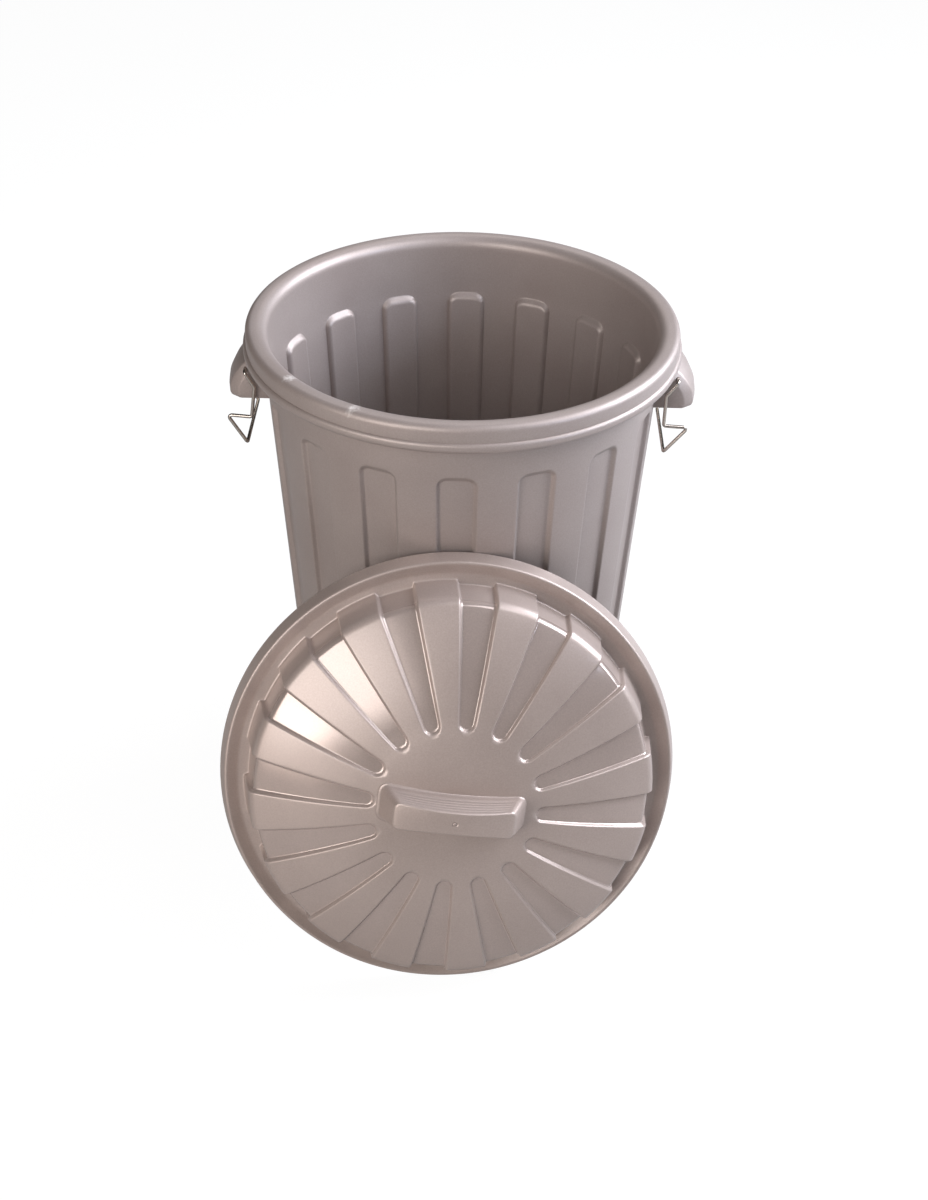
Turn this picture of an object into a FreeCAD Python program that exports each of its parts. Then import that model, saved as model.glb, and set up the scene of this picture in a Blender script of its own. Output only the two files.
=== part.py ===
"""Round moulded-plastic bin: a fluted tub with two hooded ears, a domed lid leaning on its front,
and a wire clip hanging in each ear. Millimetres, +Z up, origin on the floor under the tub's axis."""
import FreeCAD, Part
import math
import os
import re
import Sketcher

Vector = FreeCAD.Vector
Rotation = FreeCAD.Rotation

SIZES = {
    # tub: tapered wall under a straight neck, flat base
    "can_height": 634.0,
    "neck_radius": 217.0,
    "neck_height": 66.0,
    "base_radius": 184.0,
    "wall": 3.0,
    "base_wall": 4.0,
    "base_bevel": 8.0,
    # rolled rim: band above the ledge that the lid's skirt closes over, collar below it
    "rim_radius": 238.0,
    "rim_bevel": 2.5,
    "mouth_round": 8.0,
    "ledge_drop": 18.0,
    "ledge_width": 3.0,
    "collar_height": 8.0,
    # flutes sunk into the tub's wall
    "flute_count": 16,
    "flute_width": 44.0,
    "flute_depth": 5.0,
    "flute_slope": 45.0,
    "flute_drop": 4.0,
    "flute_foot": 45.0,
    "flute_corner": 9.0,
    # hooded ears that carry the clips
    "ear_width": 88.0,
    "ear_reach": 260.0,
    "ear_drop": 81.0,
    "ear_crest": 238.0,
    "ear_crest_drop": 34.0,
    "ear_bulge": 67.0,
    "ear_bevel": 6.0,
    # lid: flared skirt, annular channel, fluted dome
    "lid_radius": 248.0,
    "lid_flare": 6.0,
    "lid_skirt": 20.0,
    "lid_shell": 2.5,
    "channel_width": 20.5,
    "channel_depth": 7.0,
    "channel_sag": 2.2,
    "dome_wall": 47.0,
    "dome_inset": 7.0,
    "dome_radius": 520.0,
    "dome_bevel": 5.0,
    "lid_flute_count": 16,
    "lid_flute_angle": 10.2,
    "lid_flute_tip": 87.0,
    "lid_flute_depth": 4.0,
    "lid_flute_flank": 1.0,
    # hollow handle bar on the dome
    "handle_height": 36.0,
    "handle_length": 120.0,
    "handle_width": 29.0,
    "handle_waist": 3.0,
    "handle_arch": 9.0,
    "handle_corner": 2.5,
    "handle_edge": 1.2,
    "handle_end_slope": 26.0,
    "handle_side_slope": 7.5,
    # the lid's pose on the floor against the tub
    "lid_lean": 18.7,
    "lid_yaw": 5.9,
    "lid_roll": -8.2,
    "lid_shift": -3.0,
    "lid_gap": 0.4,
    # wire clips
    "wire": 4.0,
    "wire_bend": 4.0,
    "pivot_reach": 236.5,
    "pivot_drop": 46.5,
    "pivot_clearance": 0.08,
    "clip_gap": 0.4,
    "clip_tail": 8.0,
    "clip_jog": 12.0,
    "clip_jog_drop": 17.0,
    "clip_leg": 54.0,
    "clip_hook": 27.5,
    "clip_hook_dip": 1.5,
    "clip_grip": 87.0,
    "clip_grip_back": 2.5,
    "left_clip_swing": 7.5,
}

doc = FreeCAD.newDocument("bin")
sheet = doc.addObject("Spreadsheet::Sheet", "sizes")
for row, (alias, size) in enumerate(SIZES.items(), start=1):
    sheet.set(f"A{row}", alias)
    sheet.set(f"B{row}", str(size))
    sheet.setAlias(f"B{row}", alias)
doc.recompute()


def bound(formula):
    """The formula with each size pointed at its cell in the sheet."""
    return re.sub(r"[a-z_]+", lambda word: f"sizes.{word[0]}" if word[0] in SIZES else word[0], formula)


def number(formula):
    """The formula's present value."""
    value = sheet.evalExpression(formula)
    return float(getattr(value, "Value", value))


# Places on the tub that several pieces share.
NECK_Z = "(can_height - neck_height)"
LEDGE_Z = "(can_height - ledge_drop)"
COLLAR_Z = f"({LEDGE_Z} - collar_height)"
EAR_Z = "(can_height - ear_drop)"
EAR_TOP = "(can_height - ear_crest_drop)"
TAPER = f"((neck_radius - base_radius) / {NECK_Z})"


def new_body(name):
    return doc.addObject("PartDesign::Body", name)


def origin_part(body, role):
    return next(part for part in body.Origin.OriginFeatures if part.Role == role)


def outline(body, name, plane, corners):
    """A closed sketch through corners (x, y), or (x, y, radius, side) where the edge that arrives is an arc
    bulging to the left (+1) or right (-1) of its way. Every coordinate and radius is bound to the sheet."""
    sketch = body.newObject("Sketcher::SketchObject", name)
    sketch.AttachmentSupport = [(origin_part(body, plane), "")]
    sketch.MapMode = "FlatFace"
    places = [Vector(number(corner[0]), number(corner[1]), 0) for corner in corners]
    ends = []
    for index, corner in enumerate(corners):
        start, stop = places[index - 1], places[index]
        if len(corner) == 2:
            edge = sketch.addGeometry(Part.LineSegment(start, stop))
            ends.append((edge, 1, 2))
            continue
        chord = stop - start
        radius = number(corner[2])
        sagitta = radius - math.sqrt(radius ** 2 - chord.Length ** 2 / 4)
        left = Vector(-chord.y, chord.x, 0).normalize()
        edge = sketch.addGeometry(Part.Arc(start, (start + stop) * 0.5 + left * sagitta * corner[3], stop))
        forward = sketch.getPoint(edge, 1).distanceToPoint(start) < 1e-6
        ends.append((edge, 1, 2) if forward else (edge, 2, 1))
        limit = sketch.addConstraint(Sketcher.Constraint("Radius", edge, radius))
        sketch.setExpression(f"Constraints[{limit}]", bound(corner[2]))
    for index, corner in enumerate(corners):
        edge, _, stop = ends[index]
        after, start, _ = ends[(index + 1) % len(corners)]
        sketch.addConstraint(Sketcher.Constraint("Coincident", edge, stop, after, start))
        for kind, axis, value, formula in (("DistanceX", -2, places[index].x, corner[0]),
                                           ("DistanceY", -1, places[index].y, corner[1])):
            if abs(value) < 1e-9:
                sketch.addConstraint(Sketcher.Constraint("PointOnObject", edge, stop, axis))
                continue
            limit = sketch.addConstraint(Sketcher.Constraint(kind, -1, 1, edge, stop, value))
            sketch.setExpression(f"Constraints[{limit}]", bound(formula))
    return sketch


def lift(sketch, height):
    """Moves a sketch along its plane's normal."""
    sketch.setExpression("AttachmentOffset.Base.z", bound(height))


def revolve(body, sketch):
    turned = body.newObject("PartDesign::Revolution", f"{sketch.Name}_turned")
    turned.Profile = sketch
    turned.ReferenceAxis = (sketch, ["V_Axis"])
    turned.Angle = 360
    doc.recompute()
    return turned


def pad(body, sketch, length):
    solid = body.newObject("PartDesign::Pad", f"{sketch.Name}_pad")
    solid.Profile = sketch
    solid.Midplane = True
    solid.setExpression("Length", bound(length))
    doc.recompute()
    return solid


def bevel_edges(body, feature, size, chosen):
    """Bevels the feature's edges for which chosen(edge) is true."""
    names = [f"Edge{index}" for index, edge in enumerate(feature.Shape.Edges, start=1) if chosen(edge)]
    if not names:
        raise RuntimeError(f"no edge to bevel on {feature.Name}")
    bevelled = body.newObject("PartDesign::Chamfer", f"{feature.Name}_bevel")
    bevelled.Base = (feature, names)
    bevelled.setExpression("Size", bound(size))
    doc.recompute()
    return bevelled


def polar_ring(body, feature, count):
    """Repeats the body's shape, up to feature, evenly about its Z axis."""
    ring = body.newObject("PartDesign::PolarPattern", f"{feature.Name}_ring")
    ring.Originals = [feature]
    ring.TransformMode = "Whole shape"
    ring.Axis = (origin_part(body, "Z_Axis"), [""])
    ring.Angle = 360
    ring.setExpression("Occurrences", bound(count))
    body.Tip = ring
    doc.recompute()
    return ring


def boolean(kind, name, base, tool):
    result = doc.addObject(f"Part::{kind}", name)
    result.Base = base
    result.Tool = tool
    doc.recompute()
    return result


def fuse(name, pieces):
    result = doc.addObject("Part::MultiFuse", name)
    result.Shapes = pieces
    doc.recompute()
    return result


def flute_ring(name, skin):
    """The ring of tub flutes as cutters, each square to the tapered wall with sloped edges and its corners
    cut off. skin is how far the face they are cut from lies inside the wall's outer face, and the cutters
    spread with it, so that the moulding keeps one thickness."""
    spread = f"({skin} * tan((90 - flute_slope) / 2) - flute_depth / tan(flute_slope))"
    top = f"(-flute_drop + {spread})"
    foot = f"(flute_foot - {NECK_Z} - {spread})"
    half_top = f"(flute_width / 2 + {spread})"
    half_foot = f"(flute_width / 2 * (base_radius + {TAPER} * flute_foot) / neck_radius + {spread})"
    corner = f"(flute_corner + {spread} * (2 - sqrt(2)))"
    right = [
        (f"{half_foot} - {corner}", foot),
        (half_foot, f"{foot} + {corner}"),
        (half_top, f"{top} - {corner}"),
        (f"{half_top} - {corner}", top),
    ]
    left = [(f"-({across})", height) for across, height in reversed(right)]
    body = new_body(name)
    floor = outline(body, f"{name}_floor", "XZ_Plane", right + left)
    floor.AttachmentOffset = FreeCAD.Placement(Vector(), Rotation(Vector(1, 0, 0), 1))
    floor.setExpression("AttachmentOffset.Base.y", bound(NECK_Z))
    floor.setExpression("AttachmentOffset.Rotation.Angle", bound(f"atan({TAPER})"))
    lift(floor, f"neck_radius - {skin} - flute_depth")
    bar = body.newObject("PartDesign::Pad", f"{name}_bar")
    bar.Profile = floor
    bar.setExpression("Length", bound("flute_depth + wall"))
    doc.recompute()
    outward = floor.Placement.Rotation.multVec(Vector(0, 0, 1))
    turns = [face.normalAt(0, 0).dot(outward) for face in bar.Shape.Faces]
    sides = [f"Face{index}" for index, turn in enumerate(turns, start=1) if abs(turn) < 0.5]
    sloped = body.newObject("PartDesign::Draft", f"{name}_sloped")
    sloped.Base = (bar, sides)
    sloped.NeutralPlane = (bar, [f"Face{turns.index(min(turns)) + 1}"])
    doc.recompute()
    sloped.setExpression("Angle", bound("flute_slope"))
    doc.recompute()
    if sloped.Shape.Volume < bar.Shape.Volume:
        raise RuntimeError(f"{name} narrows outwards")
    polar_ring(body, sloped, "flute_count")
    return body


def tub_form():
    """The tub's outer form, turned: base, tapered wall, neck and rolled rim, with the flutes cut in."""
    body = new_body("tub_form")
    revolve(body, outline(body, "tub_profile", "XZ_Plane", [
        ("0", "0"),
        ("base_radius - base_bevel", "0"),
        (f"base_radius + {TAPER} * base_bevel", "base_bevel"),
        ("neck_radius", NECK_Z),
        ("neck_radius", "can_height - mouth_round"),
        ("neck_radius + mouth_round - wall", "can_height - wall"),
        ("rim_radius - wall", "can_height - wall"),
        ("rim_radius - wall", COLLAR_Z),
        ("rim_radius + ledge_width", COLLAR_Z),
        ("rim_radius + ledge_width", LEDGE_Z),
        ("rim_radius", LEDGE_Z),
        ("rim_radius", "can_height - rim_bevel"),
        ("rim_radius - rim_bevel", "can_height"),
        ("0", "can_height"),
    ]))
    return boolean("Cut", "tub_outside", body, flute_ring("outer_flutes", "0"))


def tub_hollow():
    """The tub's inside, which opens out over the rim's rounded mouth in two slopes."""
    foot = "(base_wall + base_bevel)"
    inner = "(neck_radius - wall)"
    body = new_body("tub_hollow")
    revolve(body, outline(body, "hollow_profile", "XZ_Plane", [
        ("0", "base_wall"),
        (f"base_radius - wall + {TAPER} * base_wall - base_bevel", "base_wall"),
        (f"base_radius - wall + {TAPER} * {foot}", foot),
        (inner, NECK_Z),
        (inner, "can_height - mouth_round"),
        (f"{inner} + mouth_round * (1 - cos(45))", "can_height - mouth_round * (1 - sin(45))"),
        (f"{inner} + mouth_round", "can_height"),
        ("0", "can_height"),
    ]))
    return boolean("Cut", "tub_inside", body, flute_ring("inner_flutes", "wall"))


def ear_bar(name, inset, corners):
    """A bar along Y with bevelled ends, inset being how far it lies inside the ear's outer face."""
    body = new_body(name)
    bar = pad(body, outline(body, f"{name}_profile", "XZ_Plane", corners), f"ear_width - 2 * {inset}")
    end = number(f"ear_width / 2 - {inset}")
    bevel_edges(body, bar, f"ear_bevel - {inset} * (2 - sqrt(2))",
                lambda edge: isinstance(edge.Curve, Part.Circle) and abs(abs(edge.CenterOfMass.y) - end) < 0.01)
    return body


def ear():
    """A hood open underneath, with a bored web at each end for the clip's tails."""
    root = "(neck_radius - 4 * wall)"
    outside = ear_bar("ear_outside", "0", [
        (root, EAR_Z),
        ("ear_reach", EAR_Z),
        ("ear_crest", EAR_TOP, "ear_bulge", -1),
        (root, EAR_TOP),
    ])
    inside = ear_bar("ear_inside", "wall", [
        (root, f"{EAR_Z} - wall"),
        ("ear_reach - wall", f"{EAR_Z} - wall"),
        ("ear_reach - wall", EAR_Z),
        ("ear_crest - wall * 2 / 5", f"{EAR_TOP} - wall", "ear_bulge - wall", -1),
        (root, f"{EAR_TOP} - wall"),
    ])
    hood = boolean("Cut", "ear_hood", outside, inside)
    bore = doc.addObject("Part::Cylinder", "ear_bore")
    bore.setExpression("Radius", bound("wire / 2 + pivot_clearance"))
    bore.setExpression("Height", bound("ear_width * 2"))
    bore.Placement = FreeCAD.Placement(Vector(), Rotation(Vector(1, 0, 0), 90))
    bore.setExpression("Placement.Base.x", bound("pivot_reach"))
    bore.setExpression("Placement.Base.y", bound("ear_width"))
    bore.setExpression("Placement.Base.z", bound("can_height - pivot_drop"))
    doc.recompute()
    return boolean("Cut", "right_ear", hood, bore)


def bin_body():
    right = ear()
    left = doc.addObject("Part::Mirroring", "left_ear")
    left.Source = right
    left.Normal = Vector(1, 0, 0)
    doc.recompute()
    solid = fuse("tub_with_ears", [tub_form(), right, left])
    return boolean("Cut", "bin_body", solid, tub_hollow())


# Places on the lid, in the lid's own frame: its open edge at height 0, its axis along +Z.
CREST_R = "(lid_radius - lid_flare)"
FLOOR_Z = "(lid_skirt - channel_depth)"
DOME_BASE_R = f"({CREST_R} - channel_width)"
DOME_R = f"({DOME_BASE_R} - dome_inset)"
APEX_Z = f"({FLOOR_Z} + dome_wall + dome_radius - sqrt(dome_radius ^ 2 - {DOME_R} ^ 2))"


def dome_z(radius, inset):
    """The dome's height at a radius, on the face that lies inset under its outer one."""
    return f"({APEX_Z} - {inset} - dome_radius + sqrt(dome_radius ^ 2 - ({radius}) ^ 2))"


def lid_turning(name, skin, inset):
    """The lid's round form, turned. skin moves skirt and channel inwards, inset the dome and its wall."""
    edge = "0" if skin == "0" else "-lid_shell"
    shoulder = f"({DOME_R} - {inset})"
    body = new_body(name)
    revolve(body, outline(body, f"{name}_profile", "XZ_Plane", [
        ("0", edge),
        (f"lid_radius - {skin}", edge),
        (f"{CREST_R} - {skin}", f"lid_skirt - {skin}"),
        (f"{CREST_R} - channel_width / 2", f"{FLOOR_Z} + channel_depth / 2 - channel_sag - {skin}"),
        (f"{DOME_BASE_R} + lid_shell", f"{FLOOR_Z} - {skin}"),
        (f"{DOME_BASE_R} - {inset}", f"{FLOOR_Z} - {skin}"),
        (f"{shoulder} + dome_inset * dome_bevel / dome_wall", f"{dome_z(shoulder, inset)} - dome_bevel"),
        (f"{shoulder} - dome_bevel", dome_z(f"({shoulder} - dome_bevel)", inset)),
        ("lid_flute_tip * 7 / 4", dome_z("(lid_flute_tip * 7 / 4)", inset)),
        ("lid_flute_tip", dome_z("lid_flute_tip", inset)),
        ("0", dome_z("(lid_flute_tip / 3)", inset)),
    ]))
    return body


def flute_wedges(name, skin, flank):
    """The ring of radial wedges that mark out the dome's flutes, each with a round inner tip. On the inside
    skin brings the tip, and the angle flank the sides, outwards by about the shell's thickness."""
    half = f"(lid_flute_angle / 2 + {flank})"
    centre = f"((lid_flute_tip - {skin}) / (1 - sin({half})))"
    tip = f"({centre} * sin({half}))"
    touch = f"{centre} * cos({half}) ^ 2"
    far = f"({DOME_BASE_R} + lid_shell / 2)"
    body = new_body(name)
    profile = outline(body, f"{name}_profile", "XY_Plane", [
        (touch, f"-{tip} * cos({half})", tip, -1),
        (far, f"-{far} * tan({half})"),
        (far, f"{far} * tan({half})"),
        (touch, f"{tip} * cos({half})"),
        (f"{centre} - {tip}", "0", tip, -1),
    ])
    wedge = body.newObject("PartDesign::Pad", f"{name}_pad")
    wedge.Profile = profile
    wedge.setExpression("Length", bound(f"{APEX_Z} + lid_shell"))
    doc.recompute()
    polar_ring(body, wedge, "lid_flute_count")
    return body


def fluted_dome(name, skin, flank):
    """The lid's turned form with its flutes sunk over the dome, the shoulder and the steep wall."""
    crown = lid_turning(f"{name}_crown", skin, skin)
    floor = lid_turning(f"{name}_floor", skin, f"({skin} + lid_flute_depth)")
    wedges = flute_wedges(f"{name}_wedges", skin, flank)
    return boolean("Cut", name, crown, boolean("Cut", f"{name}_flutes", wedges, floor))


# Heights on the handle: the flat ends of its arched top, and a root well inside the dome.
HANDLE_END_Z = f"({APEX_Z} + handle_height - handle_arch)"
HANDLE_ROOT_Z = f"({APEX_Z} - handle_arch * 2)"
ARCH_R = "((handle_length ^ 2 / 4 + handle_arch ^ 2) / (2 * handle_arch))"


def handle_plan(body, name, height, inset):
    """The handle's waisted outline at one height: drafted ends, drafted sides, corners cut off."""
    half = f"(handle_length / 2 + ({HANDLE_END_Z} - {height}) * tan(handle_end_slope) - {inset})"
    side = f"(handle_width / 2 + ({HANDLE_END_Z} - {height}) * tan(handle_side_slope) - {inset})"
    cut = f"(handle_corner - {inset} / 2)"
    run = f"({half} - {cut})"
    waist = f"({run} ^ 2 + handle_waist ^ 2) / (2 * handle_waist)"
    plan = outline(body, name, "XY_Plane", [
        (f"-{run}", f"-{side}"),
        (run, f"-{side}", waist, 1),
        (half, f"-{side} + {cut}"),
        (half, f"{side} - {cut}"),
        (run, side),
        (f"-{run}", side, waist, 1),
        (f"-{half}", f"{side} - {cut}"),
        (f"-{half}", f"-{side} + {cut}"),
    ])
    lift(plan, height)
    return plan


def handle_bar(name, inset):
    """The handle as a tapered bar under an arched top, smaller all round by inset."""
    body = new_body(name)
    top = f"({APEX_Z} + handle_height - {inset})"
    half = "(handle_length / 2 + handle_arch)"
    end = f"{top} - {ARCH_R} + sqrt({ARCH_R} ^ 2 - {half} ^ 2)"
    bar = body.newObject("PartDesign::AdditiveLoft", f"{name}_loft")
    bar.Profile = handle_plan(body, f"{name}_root", HANDLE_ROOT_Z, inset)
    bar.Sections = [handle_plan(body, f"{name}_top", f"({APEX_Z} + handle_height + handle_edge)", inset)]
    bar.Ruled = True
    doc.recompute()
    over = outline(body, f"{name}_arch", "XZ_Plane", [
        (f"-{half}", end),
        (half, end, ARCH_R, 1),
        (half, f"{top} + handle_arch"),
        (f"-{half}", f"{top} + handle_arch"),
    ])
    arch = body.newObject("PartDesign::Pocket", f"{name}_arched")
    arch.Profile = over
    arch.Midplane = True
    arch.setExpression("Length", bound("handle_width * 3"))
    doc.recompute()
    if inset == "0":
        crown = next(face for face in arch.Shape.Faces if isinstance(face.Surface, Part.Cylinder)
                     and abs(face.Surface.Radius - number(ARCH_R)) < 0.01)
        rim = [edge.hashCode() for edge in crown.Edges]
        bevel_edges(body, arch, "handle_edge", lambda edge: edge.hashCode() in rim)
    return body


def lid_placement():
    """Stands the lid on its edge on the floor, leaning back until that edge is lid_gap off the tub's wall."""
    lean, yaw, roll = (math.radians(number(name)) for name in ("lid_lean", "lid_yaw", "lid_roll"))
    radius = number("lid_radius")
    across = Vector(math.cos(yaw), math.sin(yaw), 0)
    axis = Vector(math.sin(yaw) * math.cos(lean), -math.cos(yaw) * math.cos(lean), math.sin(lean))
    up = axis.cross(across)
    centre = Vector(number("lid_shift"), 0, radius * math.cos(lean))
    reaches = []
    for step in range(720):
        turn = math.radians(step / 2)
        point = centre + across * (radius * math.cos(turn)) + up * (radius * math.sin(turn))
        clear = number("base_radius + lid_gap") + number(TAPER) * point.z
        if abs(point.x) < clear:
            reaches.append(-math.sqrt(clear ** 2 - point.x ** 2) - point.y)
    centre.y = min(reaches)
    handle = across * math.cos(roll) + up * math.sin(roll)
    return FreeCAD.Placement(centre, Rotation(handle, axis.cross(handle), axis, "ZXY"))


def lid():
    outside = fuse("lid_outside", [fluted_dome("lid_form", "0", "0"), handle_bar("handle", "0")])
    inside = fuse("lid_inside", [fluted_dome("lid_hollow", "lid_shell", "lid_flute_flank"),
                                 handle_bar("handle_hollow", "lid_shell")])
    shell = boolean("Cut", "lid", outside, inside)
    shell.Placement = lid_placement()
    return shell


def bent_wire(points, bend):
    """Straight runs through the points, each sharp corner cut off by a short run where a bend would lie."""
    stops = [points[0]]
    for before, corner, after in zip(points, points[1:], points[2:]):
        inward = (corner - before).normalize()
        outward = (after - corner).normalize()
        turn = inward.getAngle(outward)
        if turn < math.radians(45):
            stops.append(corner)
        else:
            reach = bend * math.tan(turn / 2)
            stops += [corner - inward * reach, corner + outward * reach]
    return Part.makePolygon(stops + [points[-1]])


def clip(name, side, swing):
    """A bail of bent wire about its pivot on the Y axis: two tails through the ear's webs, a jogged leg
    with a hook outside each web, and a finger bar across the bottom. side is +1 right, -1 left."""
    mitre = "wire / 2 * tan(22.5)"
    leg = number(f"ear_width / 2 + clip_gap + {mitre} + wire_bend")
    hook = number("clip_hook - clip_jog")
    half = [(0, number("ear_width / 2 - clip_tail"), 0),
            (0, leg, 0),
            (-number("clip_jog"), leg, -number("clip_jog_drop")),
            (-number("clip_jog"), leg, -number("clip_leg")),
            (hook, leg, -number("clip_leg + clip_hook_dip")),
            (number("clip_grip_back - clip_jog"), leg, -number("clip_grip"))]
    points = [Vector(x * side, y, z) for x, y, z in half]
    points += [Vector(point.x, -point.y, point.z) for point in reversed(points)]
    path = doc.addObject("Part::Feature", f"{name}_path")
    path.Shape = bent_wire(points, number("wire_bend"))
    section = doc.addObject("Part::Circle", f"{name}_section")
    section.setExpression("Radius", bound("wire / 2"))
    section.Placement = FreeCAD.Placement(points[0], Rotation(Vector(1, 0, 0), 90))
    wire = doc.addObject("Part::Sweep", name)
    wire.Sections = [section]
    wire.Spine = (path, [f"Edge{index}" for index in range(1, len(path.Shape.Edges) + 1)])
    wire.Solid = True
    wire.Transition = "Right corner"
    doc.recompute()
    pivot = Vector(side * number("pivot_reach"), 0, number("can_height - pivot_drop"))
    wire.Placement = FreeCAD.Placement(pivot, Rotation(Vector(0, -side, 0), number(swing)))
    return wire


pieces = [bin_body(), lid(), clip("right_clip", 1, "0"), clip("left_clip", -1, "left_clip_swing")]
doc.recompute()

for item in doc.Objects:
    if "Invalid" in item.State or "Error" in item.State:
        raise RuntimeError(f"{item.Name} did not build: {item.State}")
os.makedirs("parts", exist_ok=True)
for piece in pieces:
    piece.Label = piece.Name
    if piece.Shape.isNull() or not piece.Shape.isValid() or len(piece.Shape.Solids) != 1:
        raise RuntimeError(f"{piece.Name} is not one sound solid")
    piece.Shape.exportStep(f"parts/{piece.Label}.step")
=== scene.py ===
import math

import bmesh
import bpy
from mathutils import Matrix, Quaternion, Vector


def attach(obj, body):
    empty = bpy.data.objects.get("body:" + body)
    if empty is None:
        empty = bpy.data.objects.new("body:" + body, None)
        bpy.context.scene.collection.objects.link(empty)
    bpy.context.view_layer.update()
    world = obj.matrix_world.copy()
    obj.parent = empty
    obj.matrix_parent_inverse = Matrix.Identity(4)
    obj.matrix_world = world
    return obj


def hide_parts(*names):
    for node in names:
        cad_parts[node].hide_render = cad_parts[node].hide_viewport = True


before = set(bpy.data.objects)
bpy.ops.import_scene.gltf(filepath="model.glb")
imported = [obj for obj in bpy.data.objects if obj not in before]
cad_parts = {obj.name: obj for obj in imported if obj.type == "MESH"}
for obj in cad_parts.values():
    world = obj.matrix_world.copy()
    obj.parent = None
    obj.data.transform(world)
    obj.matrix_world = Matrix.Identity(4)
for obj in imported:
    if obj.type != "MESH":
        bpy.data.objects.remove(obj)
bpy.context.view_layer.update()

# ---------------------------------------------------------------- the tub
# The tub is one injection moulding of silver-grey polypropylene: a tapered wall with sixteen pressed-in
# flutes under a plain neck, and a rim rolled outwards over a ledge. It stands on its own base.
# All sizes are in millimetres, and each finished mesh is scaled to metres.
MM = 0.001
TUB_WALL = 3.0
TUB_BASE_R = 184.0
NECK_R = 217.0
NECK_Z = 568.0
TAPER = (NECK_R - TUB_BASE_R) / NECK_Z
TUB_FLUTE_TOP = 564.0
TUB_FLUTE_FOOT = 45.0
TUB_FLUTE_ROWS = 20.0
TUB_FLUTE_HALF = math.radians(5.8)
TUB_FLUTE_DEPTH = 5.0
TUB_FLUTE_CORNER = 14.0
TUB_FLUTE_SIDE = 4.2
TUB_FLUTE_END = 8.8
TUB_EDGE = 0.7
FLUTE_COUNT = 16
FLUTE_PITCH = 2 * math.pi / FLUTE_COUNT
ROUND_STEPS = 6
SHARP_ANGLE = math.radians(50)
# The two places on the rim where it has been knocked, how far each spreads, and how much of the skin is rubbed along
# the top of the rim and round the foot, from 0 to 1.
RIM_KNOCKS = [(-174.5, -144.5, 631), (-104.2, -203.5, 631)]
KNOCK_R = 9.0
RIM_WORN_Z = 626.0
RIM_WORN = 0.3
FOOT_WORN_Z = 9.0
FOOT_WORN_R = 160.0
FOOT_WORN = 0.5
# A warm silver-grey that is a little uneven, and its pale scrapes; satin is the range of roughness.
TUB_DARK = "#998c87"
TUB_LIGHT = "#9f938e"
TUB_SCRAPED = "#d6cec9"
TUB_SATIN = (0.43, 0.51)
TUB_COAT = 0.1
# The plastic's patterns: clouds of tone where the melt flowed, the grain of the mould, and scrapes.
CLOUD_SIZE = 90.0
GRAIN_SIZE = 1.6
GRAIN_HEIGHT = 0.2
SCRAPE_SIZE = 3.0
# How the roughness changes where the mould was polished, and on a scrape.
POLISHED_CHANGE = -0.21
SCRAPED_CHANGE = 0.25


def tub_r(height):
    """The tapered wall's outer radius at a height."""
    return TUB_BASE_R + TAPER * height


# The outer and under face of the moulding, as (radius, height, rounding, extra rows up to the next corner).
TUB_PROFILE = [
    (0, 0, 0, 0),
    (110, 0, 0, 0),
    (tub_r(0), 0, 11, 0),
    (tub_r(30), 30, 0, 1),
    (tub_r(TUB_FLUTE_FOOT - 1), TUB_FLUTE_FOOT - 1, 0, 9),
    (tub_r(TUB_FLUTE_FOOT + TUB_FLUTE_ROWS), TUB_FLUTE_FOOT + TUB_FLUTE_ROWS, 0, 3),
    (tub_r(TUB_FLUTE_TOP - TUB_FLUTE_ROWS), TUB_FLUTE_TOP - TUB_FLUTE_ROWS, 0, 17),
    (tub_r(TUB_FLUTE_TOP + 1), TUB_FLUTE_TOP + 1, 0, 0),
    (NECK_R, NECK_Z + 2, 0, 2),
    (NECK_R, 618, 0, 0),
    (NECK_R, 631, 9, 1),
    (235, 631, 4, 0),
    (235, 621, 0, 0),
    (235, 613, 1.2, 0),
    (238, 613, 1.4, 0),
    (238, 607.4, 3, 0),
    (232, 606, 0, 0),
]
# Columns of one flute's half sector, in degrees from its centre line, close together on its sloped side.
TUB_COLUMNS = [0, 1.6, 2.8, 3.4, 3.8, 4.15, 4.45, 4.7, 4.95, 5.2, 5.45, 5.7, 5.95, 6.5, 7.7, 9.4, 11.25]


def profile_wire(bm, corners):
    """Draws a profile in the XZ plane run by run, in rows, and spins it round each rounded corner."""
    places = [Vector((r, 0, z)) for r, z, _, _ in corners]
    end = bm.verts.new(places[0])
    for index, (_, _, rounding, _) in enumerate(corners[1:], start=1):
        start = end.co.copy()
        along = (places[index] - start).normalized()
        leaving = places[index + 1] - places[index] if rounding else along
        turn = along.angle(leaving)
        stop = places[index] - along * rounding * math.tan(turn / 2)
        rows = corners[index - 1][3] + 1
        for row in range(1, rows + 1):
            end = bmesh.ops.extrude_vert_indiv(bm, verts=[end])["verts"][0]
            end.co = start.lerp(stop, row / rows)
        if rounding:
            axis = along.cross(leaving).normalized()
            centre = stop + axis.cross(along) * rounding
            last = bmesh.ops.spin(bm, geom=[end], cent=centre, axis=axis, angle=turn,
                                  steps=ROUND_STEPS)["geom_last"]
            end = next(part for part in last if isinstance(part, bmesh.types.BMVert))


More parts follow.
